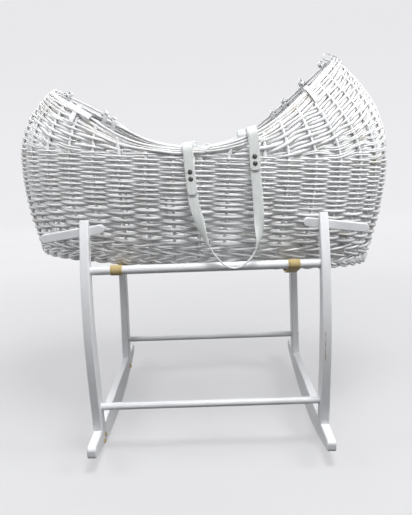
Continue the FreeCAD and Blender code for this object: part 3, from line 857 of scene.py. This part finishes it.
def handle_line():
    """The whole strap in the basket's frame, with its wide direction: two ends and the hanging loop, which
    lies flat at its ends and turns onto its edge at the bottom."""
    left, left_wide = strap_end(LEFT_EYE, HANDLE_TARGET[0], FLAP_LENGTH[0])
    right, right_wide = strap_end(RIGHT_EYE, HANDLE_TARGET[1], FLAP_LENGTH[1])
    plane = left[-1, 1]
    knots = [left[-1]] + [np.array([u, plane, w]) for u, w in HANDLE_CURVE] + [right[-1]]
    loop = smooth_curve(knots, np.linspace(0.0, 1.0, 120), left[-1] - left[-2], right[-2] - right[-1])
    tangent = unit(np.gradient(loop, axis=0))
    low, high = HANDLE_TWISTED
    twist = np.pi / 2 * eased((high - loop[:, 2]) / (high - low))[:, None]
    wide = np.cross(ACROSS, tangent) * np.cos(twist) + ACROSS * np.sin(twist)
    line = np.concatenate([left, loop[1:-1], right[::-1]])
    wide = np.concatenate([left_wide, wide[1:-1], -right_wide[::-1]])
    return line, wide


def even_steps(line, wide, step):
    """A line and its wide direction read again in even steps, both smoothed over a few of them."""
    walked = lengths(line)
    places = np.linspace(0.0, walked[-1], int(walked[-1] / step))
    line = np.stack([np.interp(places, walked, line[:, k]) for k in range(3)], axis=1)
    wide = np.stack([np.interp(places, walked, wide[:, k]) for k in range(3)], axis=1)
    for _ in range(6):
        wide[1:-1] = (wide[:-2] + wide[1:-1] + wide[2:]) / 3
    for _ in range(2):
        line[1:-1] = (line[:-2] + 2 * line[1:-1] + line[2:]) / 4
    tangent = unit(np.gradient(line, axis=0))
    wide = unit(wide - tangent * np.sum(wide * tangent, axis=1, keepdims=True))
    return places, line, wide, np.cross(tangent, wide)


def stitches(name, line, wide, thin, rows, finish):
    """Short thread stitches laid along a strap: each is a small spindle of four rings, thick in its middle
    and thin at its ends.  rows gives (distance across, distance through) of each line of stitching."""
    count = len(line) - 1
    length = lengths(line)
    spacing = STITCH_SPACING
    places = np.arange(spacing, length[-1] - spacing, spacing)
    profile = np.array([0.25, 0.9, 0.9, 0.25])
    run = np.array([-0.5, -0.28, 0.28, 0.5]) * spacing * STITCH_SHARE
    angle = 2 * np.pi * np.arange(STITCH_SIDES) / STITCH_SIDES
    points = []
    for across, through in rows:
        centre = line + wide * across + thin * through
        at = np.stack([np.interp(places, length, centre[:, k]) for k in range(3)], axis=1)
        index = np.clip(np.searchsorted(length, places), 1, count - 1)
        along = unit(line[index + 1] - line[index - 1])
        ring = (at[:, None, None] + along[:, None, None] * run[None, :, None, None]
                + (wide[index][:, None, None] * np.cos(angle)[None, None, :, None]
                   + thin[index][:, None, None] * np.sin(angle)[None, None, :, None])
                * (profile * STITCH_RADIUS)[None, :, None, None])
        points.append(ring.reshape(-1, 3))
    points = np.concatenate(points)
    corners = 4 * STITCH_SIDES
    ends = [list(range(STITCH_SIDES))[::-1], list(range(corners - STITCH_SIDES, corners))]
    cell = grid_faces(4, STITCH_SIDES) + ends
    faces = [[corner + corners * item for corner in face]
             for item in range(len(points) // corners) for face in cell]
    piece = new_piece(name, points, faces, finish)
    recalculate(piece)
    return piece


def recalculate(piece):
    """Turns every face outwards."""
    bpy.ops.object.select_all(action="DESELECT")
    piece.select_set(True)
    bpy.context.view_layer.objects.active = piece
    bpy.ops.object.mode_set(mode="EDIT")
    bpy.ops.mesh.select_all(action="SELECT")
    bpy.ops.mesh.normals_make_consistent(inside=False)
    bpy.ops.object.mode_set(mode="OBJECT")


def handles(strap_finish, thread_finish):
    """Both carry straps with their edge stitching.  A tip is rounded: half width w sqrt(1 - x^2)."""
    for row_name, mirror in (("front", np.ones(3)), ("rear", FRONT_TO_REAR)):
        places, line, wide, thin = even_steps(*handle_line(), 0.0032)
        leaning = turned_about(line, LEFT_EYE, EYE_WAY, -HANDLE_LEAN)
        wide = turned_about(line + wide, LEFT_EYE, EYE_WAY, -HANDLE_LEAN) - leaning
        thin = turned_about(line + thin, LEFT_EYE, EYE_WAY, -HANDLE_LEAN) - leaning
        line = in_stand(leaning * mirror)
        wide = (wide * mirror) @ TO_STAND
        thin = (thin * mirror) @ TO_STAND
        from_tip = np.minimum(places, places[-1] - places)
        tip = HANDLE_WIDTH * 0.55
        width = HANDLE_WIDTH * np.sqrt(1 - np.clip(1 - (from_tip + 0.0006) / tip, 0.0, 1.0) ** 2)
        strap = band("carry_strap_" + row_name, line, wide, thin, width, HANDLE_THICKNESS, strap_finish)
        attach(strap, "handle_" + row_name)
        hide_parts("handle_strap_" + row_name)
        inset = HANDLE_WIDTH / 2 - SEAM_INSET
        proud = HANDLE_THICKNESS / 2
        rows = [(-inset, proud), (inset, proud), (-inset, -proud), (inset, -proud)]
        keep = slice(4, len(line) - 4)
        thread = stitches("strap_stitching_" + row_name, line[keep], wide[keep], thin[keep], rows,
                          thread_finish)
        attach(thread, "handle_" + row_name)


# ------------------------------------------------------------------ the slings

SLING_THICKNESS = 0.0016
SLING_OVERLAP = 0.026
SLING_AIR = 0.0002              # between the webbing and a rail
SLING_CORNER = 0.004            # how far past the basket's foot it turns up


def slings(finish):
    """Webbing that goes under the basket, up to each top rail, once round it, and back on itself.  It
    leaves for the rail along the tangent: the rail's angle less asin(radius / distance)."""
    for name in ("left", "right"):
        low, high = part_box("sling_" + name)
        rail_low, rail_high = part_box("top_rail_rear")
        rail = np.array([(rail_low[1] + rail_high[1]) / 2, (rail_low[2] + rail_high[2]) / 2])
        round_rail = (rail_high[2] - rail_low[2]) / 2 + SLING_THICKNESS / 2 + SLING_AIR
        flat = low[2] + SLING_THICKNESS / 2
        edge = BASE_HALF[2] + SLING_CORNER
        to_rail = rail - np.array([edge, flat])
        reach = np.hypot(*to_rail)
        angle = math.atan2(to_rail[1], to_rail[0]) - math.asin(round_rail / reach)
        way = np.array([math.cos(angle), math.sin(angle)])
        span = math.sqrt(reach ** 2 - round_rail ** 2)
        touch = np.array([edge, flat]) + way * span
        around = angle - np.pi / 2 + np.linspace(0.0, 2 * np.pi, 40)
        ring = rail + round_rail * np.stack([np.cos(around), np.sin(around)], axis=1)
        inward = np.array([-way[1], way[0]])
        back = touch + inward * SLING_THICKNESS - way * np.linspace(0.006, SLING_OVERLAP, 8)[:, None]
        middle = np.stack([np.linspace(-edge, edge, 40), np.full(40, flat)], axis=1)
        rise = np.array([edge, flat]) + way * np.linspace(0.004, span, 14)[:-1, None]
        half = np.concatenate([rise, ring, back])
        section = np.concatenate([half[::-1] * (-1, 1), middle, half])
        line = np.stack([np.full(len(section), (low[0] + high[0]) / 2), section[:, 0], section[:, 1]], axis=1)
        wide = np.tile((1.0, 0.0, 0.0), (len(line), 1))
        _, line, wide, thin = even_steps(line, wide, 0.0022)
        strap = band("webbing_" + name, line, wide, thin, high[0] - low[0], SLING_THICKNESS, finish)
        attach(strap, "stand")
        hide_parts("sling_" + name)


# ------------------------------------------------------------------ finishes

def node(tree, kind, inputs=None, **settings):
    """Adds a node: settings are its own, and inputs are values or other nodes' sockets."""
    made = tree.nodes.new(kind)
    for key, value in settings.items():
        setattr(made, key, value)
    for key, value in (inputs or {}).items():
        if isinstance(value, bpy.types.NodeSocket):
            tree.links.new(value, made.inputs[key])
        else:
            made.inputs[key].default_value = value
    return made


def finish_of(name, **sockets):
    """A material whose plain numbers and colours sit on its shader's own sockets."""
    material = bpy.data.materials.new(name)
    material.use_nodes = True
    shader = material.node_tree.nodes["Principled BSDF"]
    for key, value in sockets.items():
        socket = shader.inputs[key.replace("_", " ")]
        socket.default_value = (*value, 1.0) if isinstance(value, tuple) else value
    return material, material.node_tree, shader


def run_vector(tree, scale):
    """The rod's or strap's own coordinates, metres along and across it, times a scale."""
    run = node(tree, "ShaderNodeAttribute", attribute_name="run")
    return node(tree, "ShaderNodeVectorMath", {0: run.outputs["Vector"], 1: scale},
                operation="MULTIPLY").outputs["Vector"]


def place_vector(tree, scale):
    """The piece's object coordinates times a scale."""
    place = node(tree, "ShaderNodeTexCoord")
    return node(tree, "ShaderNodeVectorMath", {0: place.outputs["Object"], 1: scale},
                operation="MULTIPLY").outputs["Vector"]


def noise(tree, vector, detail=3.0, roughness=0.5):
    """Soft noise along a vector, from 0 to 1."""
    return node(tree, "ShaderNodeTexNoise", {"Vector": vector, "Scale": 1.0, "Detail": detail,
                                             "Roughness": roughness}).outputs["Fac"]


def ramp(tree, fac, stops):
    """Colours at places along a factor."""
    made = node(tree, "ShaderNodeValToRGB", {"Fac": fac})
    elements = made.color_ramp.elements
    while len(elements) < len(stops):
        elements.new(0.5)
    for element, (place, colour) in zip(elements, stops):
        element.position = place
        element.color = (*colour, 1.0)
    return made.outputs["Color"]


def math_node(tree, operation, first, second=0.0):
    return node(tree, "ShaderNodeMath", {0: first, 1: second}, operation=operation).outputs["Value"]


def near(tree, value, target, reach):
    """1 where a value is within reach of a target, and 0 elsewhere."""
    return node(tree, "ShaderNodeMath", {0: value, 1: target, 2: reach}, operation="COMPARE").outputs["Value"]


def mixture(tree, first, first_share, second, second_share):
    """The sum of two factors, each times its share."""
    return math_node(tree, "ADD", math_node(tree, "MULTIPLY", first, first_share),
                     math_node(tree, "MULTIPLY", second, second_share))


def bump(tree, shader, height, strength, distance):
    """A small relief in the finish."""
    made = node(tree, "ShaderNodeBump", {"Height": height, "Strength": strength, "Distance": distance})
    tree.links.new(made.outputs["Normal"], shader.inputs["Normal"])


def range_of(tree, fac, low, high):
    """A factor from 0 to 1 spread between two numbers."""
    return node(tree, "ShaderNodeMapRange", {"Value": fac, "To Min": low, "To Max": high}).outputs["Result"]


def sprayed_willow(name, white, thin, roughness=0.42):
    """White paint sprayed over peeled rods: streaks along each rod, tones from rod to rod, thin places
    where the willow shows through, and a grain that the paint doesn't fill."""
    material, tree, shader = finish_of(name, Specular_IOR_Level=0.45)
    streaks = noise(tree, run_vector(tree, (70.0, 420.0, 1.0)), detail=4.0)
    patches = noise(tree, place_vector(tree, (16.0, 16.0, 16.0)), detail=4.0, roughness=0.62)
    tone = node(tree, "ShaderNodeAttribute", attribute_name="tone").outputs["Fac"]
    cover = mixture(tree, streaks, 0.35, patches, 0.5)
    cover = math_node(tree, "ADD", cover, math_node(tree, "MULTIPLY", tone, 0.15))
    dull = tuple(0.9 * channel for channel in white)
    colour = ramp(tree, cover, [(0.30, thin), (0.40, dull), (0.62, white)])
    tree.links.new(colour, shader.inputs["Base Color"])
    tree.links.new(range_of(tree, streaks, roughness - 0.08, roughness + 0.14), shader.inputs["Roughness"])
    bump(tree, shader, streaks, 0.35, 0.0007)
    return material


def painted_wood(name, along):
    """White satin paint on planed boards: faint grain along the board, brushed evenly, thinner in spots."""
    material, tree, shader = finish_of(name, Specular_IOR_Level=0.5, Coat_Weight=0.15, Coat_Roughness=0.25)
    stretch = [90.0, 90.0, 90.0]
    stretch[along] = 5.0
    grain = noise(tree, place_vector(tree, tuple(stretch)), detail=5.0, roughness=0.6)
    clouds = noise(tree, place_vector(tree, (7.0, 7.0, 7.0)), detail=2.0)
    colour = ramp(tree, mixture(tree, grain, 0.45, clouds, 0.55),
                  [(0.33, (0.73, 0.74, 0.76)), (0.62, (0.80, 0.81, 0.83))])
    tree.links.new(colour, shader.inputs["Base Color"])
    tree.links.new(range_of(tree, clouds, 0.30, 0.44), shader.inputs["Roughness"])
    bump(tree, shader, grain, 0.12, 0.0006)
    return material


RUBBED_LEVEL = (0.2375, 0.031)  # middle of the rubbed line, and how far it goes up and down
RUBBED_INSET = 0.0125           # from the outer face of the leg
RUBBED_WIDTH = 0.0008           # half of it
BARE_WOOD = (0.42, 0.30, 0.17, 1.0)


def worn_board(name, along, box):
    """The same paint, with a rubbed line of bare wood up the front of a leg: it shows where the place is
    within reach of the line and a ragged noise is high."""
    material = painted_wood(name, along)
    tree = material.node_tree
    shader = tree.nodes["Principled BSDF"]
    paint = shader.inputs["Base Color"].links[0].from_socket
    place = node(tree, "ShaderNodeTexCoord").outputs["Object"]
    apart = node(tree, "ShaderNodeSeparateXYZ", {"Vector": place})
    ragged = noise(tree, place_vector(tree, (160.0, 160.0, 30.0)), detail=3.0)
    at_height = near(tree, apart.outputs["Z"], *RUBBED_LEVEL)
    edge = near(tree, apart.outputs["X"], box[1].x - RUBBED_INSET, RUBBED_WIDTH)
    rubbed = math_node(tree, "MULTIPLY", math_node(tree, "MULTIPLY", at_height, edge),
                       math_node(tree, "GREATER_THAN", ragged, 0.44))
    mixed = node(tree, "ShaderNodeMix", {0: rubbed, 6: paint, 7: BARE_WOOD}, data_type="RGBA")
    tree.links.new(mixed.outputs[2], shader.inputs["Base Color"])
    return material


def metal(name, colour, roughness):
    """Plated metal with faint rub marks."""
    material, tree, shader = finish_of(name, Base_Color=colour, Metallic=1.0)
    marks = noise(tree, place_vector(tree, (500.0, 500.0, 500.0)), detail=3.0)
    tree.links.new(range_of(tree, marks, roughness * 0.7, roughness * 1.5), shader.inputs["Roughness"])
    bump(tree, shader, marks, 0.05, 0.0002)
    return material


PICK = 0.0016                   # spacing of the webbing's weft, and of its warp ribs
RIB = 0.0012


def woven_webbing(name):
    """Flat webbing: warp ribs across its width and weft picks along it, sin x times sin y."""
    material, tree, shader = finish_of(name, Roughness=0.62, Sheen_Weight=0.25, Sheen_Roughness=0.4)
    apart = node(tree, "ShaderNodeSeparateXYZ", {"Vector": run_vector(tree, (1.0, 1.0, 1.0))})
    picks = math_node(tree, "SINE", math_node(tree, "MULTIPLY", apart.outputs["X"], 2 * math.pi / PICK))
    ribs = math_node(tree, "SINE", math_node(tree, "MULTIPLY", apart.outputs["Y"], 2 * math.pi / RIB))
    weave = math_node(tree, "MULTIPLY", picks, ribs)
    faded = noise(tree, run_vector(tree, (60.0, 300.0, 60.0)))
    mixed = math_node(tree, "ADD", math_node(tree, "MULTIPLY", weave, 0.18), faded)
    colour = ramp(tree, mixed, [(0.25, (0.40, 0.29, 0.10)), (0.75, (0.66, 0.52, 0.25))])
    tree.links.new(colour, shader.inputs["Base Color"])
    bump(tree, shader, weave, 0.5, 0.0004)
    return material


def strap_leatherette(name):
    """Off-white coated fabric: a fine pebble grain and a pressed line inside each row of stitches."""
    material, tree, shader = finish_of(name, Specular_IOR_Level=0.45)
    vector = run_vector(tree, (1.0, 1.0, 1.0))
    pebbles = node(tree, "ShaderNodeTexVoronoi", {"Vector": vector, "Scale": 900.0},
                   feature="F1").outputs["Distance"]
    soft = noise(tree, run_vector(tree, (40.0, 160.0, 40.0)), detail=3.0)
    apart = node(tree, "ShaderNodeSeparateXYZ", {"Vector": vector})
    from_seam = math_node(tree, "ABSOLUTE", math_node(
        tree, "SUBTRACT", math_node(tree, "ABSOLUTE", apart.outputs["Y"]), HANDLE_WIDTH / 2 - SEAM_INSET))
    press = range_of(tree, math_node(tree, "MINIMUM", math_node(tree, "MULTIPLY", from_seam, 1100.0), 1.0),
                     0.0, 1.0)
    height = math_node(tree, "ADD", math_node(tree, "MULTIPLY", pebbles, 0.25), press)
    colour = ramp(tree, soft, [(0.3, (0.60, 0.63, 0.62)), (0.7, (0.69, 0.715, 0.705))])
    tree.links.new(colour, shader.inputs["Base Color"])
    tree.links.new(range_of(tree, soft, 0.38, 0.52), shader.inputs["Roughness"])
    bump(tree, shader, height, 0.35, 0.0005)
    return material


def thread(name):
    """Off-white sewing thread with a fine twist."""
    material, tree, shader = finish_of(name, Roughness=0.6, Sheen_Weight=0.2)
    twist = noise(tree, place_vector(tree, (2500.0, 2500.0, 2500.0)), detail=1.0)
    colour = ramp(tree, twist, [(0.3, (0.62, 0.64, 0.63)), (0.7, (0.80, 0.82, 0.81))])
    tree.links.new(colour, shader.inputs["Base Color"])
    return material


def studio_paper(name):
    """Pale backing paper lit from behind, more so further from the middle, so that shadows on it stay
    faint."""
    material, tree, shader = finish_of(name, Roughness=0.9, Specular_IOR_Level=0.0,
                                       Emission_Color=(0.985, 0.985, 1.0))
    fibre = noise(tree, place_vector(tree, (3.0, 3.0, 3.0)), detail=2.0)
    colour = ramp(tree, fibre, [(0.3, (0.255, 0.255, 0.26)), (0.7, (0.265, 0.265, 0.27))])
    away = node(tree, "ShaderNodeVectorMath", {0: place_vector(tree, (0.3, 0.3, 0.3))},
                operation="LENGTH").outputs["Value"]
    glow = ramp(tree, away, [(0.0, (0.42, 0.42, 0.42)), (0.25, (0.47, 0.47, 0.47)),
                             (0.6, (0.66, 0.66, 0.66)), (1.0, (0.77, 0.77, 0.77))])
    tree.links.new(glow, shader.inputs["Emission Strength"])
    tree.links.new(colour, shader.inputs["Base Color"])
    return material


# ------------------------------------------------------------------ putting it together

def in_basket_piece(piece, slot, *nodes):
    """A finished piece that moves with the basket, and the plain solids that it stands for."""
    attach(piece, "basket")
    if nodes:
        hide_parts(*nodes)


def paint_frame():
    """Finishes of the parts that keep their own shape."""
    upright = painted_wood("white_paint_upright", 2)
    lengthwise = painted_wood("white_paint_lengthwise", 0)
    crosswise = painted_wood("white_paint_crosswise", 1)
    worn = worn_board("white_paint_worn", 2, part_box("leg_front_right"))
    brass = metal("brass_plate", (0.40, 0.30, 0.14), 0.34)
    steel = metal("zinc_plate", (0.62, 0.62, 0.63), 0.3)
    nickel = metal("dark_nickel", (0.065, 0.062, 0.06), 0.12)
    chosen = {"leg": upright, "rocker": crosswise, "top": lengthwise, "lower": lengthwise, "arm": lengthwise,
              "rail": brass, "foot": brass, "handle": nickel}
    single = {"arm_screws": steel, "leg_front_right": worn}
    for name, part in NODES.items():
        finish = single.get(name, chosen.get(name.split("_")[0], upright))
        part.data.materials.clear()
        part.data.materials.append(finish)


def furnish():
    """Every piece that is woven, wound or sewn."""
    willow = sprayed_willow("sprayed_willow", (0.80, 0.805, 0.81), (0.55, 0.50, 0.41))
    base_willow = sprayed_willow("sprayed_willow_base", (0.80, 0.80, 0.80), (0.55, 0.48, 0.36), 0.5)
    cane = sprayed_willow("white_cane_tie", (0.86, 0.87, 0.88), (0.78, 0.79, 0.79), 0.34)
    in_basket_piece(level_rows(willow), "painted_willow", "side_wall")
    in_basket_piece(stakes(willow), "painted_willow")
    in_basket_piece(fan_rows("head_fan", HEAD, willow), "painted_willow", "head_hood")
    in_basket_piece(fan_rows("foot_fan", TAIL, willow), "painted_willow", "foot_hood")
    in_basket_piece(rim_rods(willow), "painted_willow", "rim_border")
    in_basket_piece(foot_plait(willow), "painted_willow", "foot_border")
    in_basket_piece(base_weave(base_willow), "painted_willow", "base_panel")
    in_basket_piece(tie_bands(cane), "willow_tie", "rim_ties")
    handles(strap_leatherette("strap_leatherette"), thread("strap_thread"))
    slings(woven_webbing("gold_webbing"))


COVE_FLOOR = 5.0                # radius of the flat floor
COVE_BEND = 2.0
COVE_TOP = 6.0
COVE_GAP = 0.0005


def studio():
    """A round pale cove: a flat floor just under the rockers, then a quarter turn up, then a wall.  It is
    lit from behind, and throws no light and no shadow on the piece."""
    bend = np.linspace(0.0, np.pi / 2, 20)
    away = np.concatenate([[0.0, 1.0, 2.0, 3.5], COVE_FLOOR + COVE_BEND * np.sin(bend),
                           [COVE_FLOOR + COVE_BEND]])
    rise = np.concatenate([[0.0] * 4, COVE_BEND - COVE_BEND * np.cos(bend), [COVE_TOP]]) - COVE_GAP
    turn = np.linspace(0.0, 2 * np.pi, 64, endpoint=False)
    points = np.stack([away[:, None] * np.sin(turn), away[:, None] * np.cos(turn),
                       np.broadcast_to(rise[:, None], (len(away), len(turn)))], axis=-1)
    cove = new_piece("studio_cove", points, grid_faces(len(away), len(turn)),
                     studio_paper("studio_paper"))
    cove.visible_diffuse = False
    cove.visible_shadow = False


def soft_light(name, place, target, size, power):
    """A square soft box that faces a point."""
    data = bpy.data.lights.new(name, "AREA")
    data.shape = "SQUARE"
    data.size = size
    data.energy = power
    lamp = bpy.data.objects.new(name, data)
    lamp.location = place
    lamp.rotation_euler = (Vector(target) - Vector(place)).to_track_quat("-Z", "Y").to_euler()
    bpy.context.scene.collection.objects.link(lamp)


def studio_air():
    """Light from all round that is dim below the horizon and brightest overhead."""
    world = bpy.data.worlds.new("studio_air")
    world.use_nodes = True
    tree = world.node_tree
    way = node(tree, "ShaderNodeTexCoord").outputs["Generated"]
    height = node(tree, "ShaderNodeSeparateXYZ", {"Vector": way}).outputs["Z"]
    air = ramp(tree, height, [(0.0, (0.05, 0.05, 0.052)), (0.2, (0.17, 0.172, 0.18)),
                              (1.0, (0.40, 0.405, 0.42))])
    tree.links.new(air, tree.nodes["Background"].inputs["Color"])
    bpy.context.scene.world = world


LIGHTS = (                      # name, place, the point it faces, size, watts
    ("overhead", (0.3, -0.9, 2.4), (0.0, -0.1, 0.4), 0.7, 37.0),
    ("right_side", (2.0, -0.5, 1.7), (0.1, 0.0, 0.6), 0.9, 27.0),
    ("left_side", (-2.0, -0.4, 1.5), (0.0, 0.0, 0.5), 0.9, 21.0),
    ("back", (-0.4, 2.4, 2.0), (0.0, 0.0, 0.5), 1.4, 16.0),
    ("front", (0.5, -2.6, 1.9), (0.0, 0.0, 0.5), 1.4, 12.0))


def light():
    """Air and soft boxes: one overhead that grazes the weave, one at each side, one behind, one in front."""
    studio_air()
    for lamp in LIGHTS:
        soft_light(*lamp)
    bpy.context.scene.view_settings.view_transform = "Standard"


CAMERA_PLACE = (0.0176, -1.4033, 0.653)
CAMERA_YAW = math.radians(-0.74)
CAMERA_DOWN = math.radians(11.173)
CAMERA_ROLL = math.radians(-2.136)
CAMERA_LENS = 41.94             # millimetres
CAMERA_SENSOR = 36.0


def camera():
    """Looks along its yaw and down; its roll turns it about that line."""
    forward = Vector((math.sin(CAMERA_YAW) * math.cos(CAMERA_DOWN),
                      math.cos(CAMERA_YAW) * math.cos(CAMERA_DOWN), -math.sin(CAMERA_DOWN)))
    level = Vector((math.cos(CAMERA_YAW), -math.sin(CAMERA_YAW), 0.0))
    upright = level.cross(forward)
    right = level * math.cos(CAMERA_ROLL) + upright * math.sin(CAMERA_ROLL)
    up = upright * math.cos(CAMERA_ROLL) - level * math.sin(CAMERA_ROLL)
    data = bpy.data.cameras.new("camera")
    data.lens = CAMERA_LENS
    data.sensor_width = CAMERA_SENSOR
    viewer = bpy.data.objects.new("camera", data)
    turn = Matrix((right, up, -forward)).transposed().to_4x4()
    viewer.matrix_world = Matrix.Translation(CAMERA_PLACE) @ turn
    bpy.context.scene.collection.objects.link(viewer)
    bpy.context.scene.camera = viewer


paint_frame()
furnish()
studio()
light()
camera()
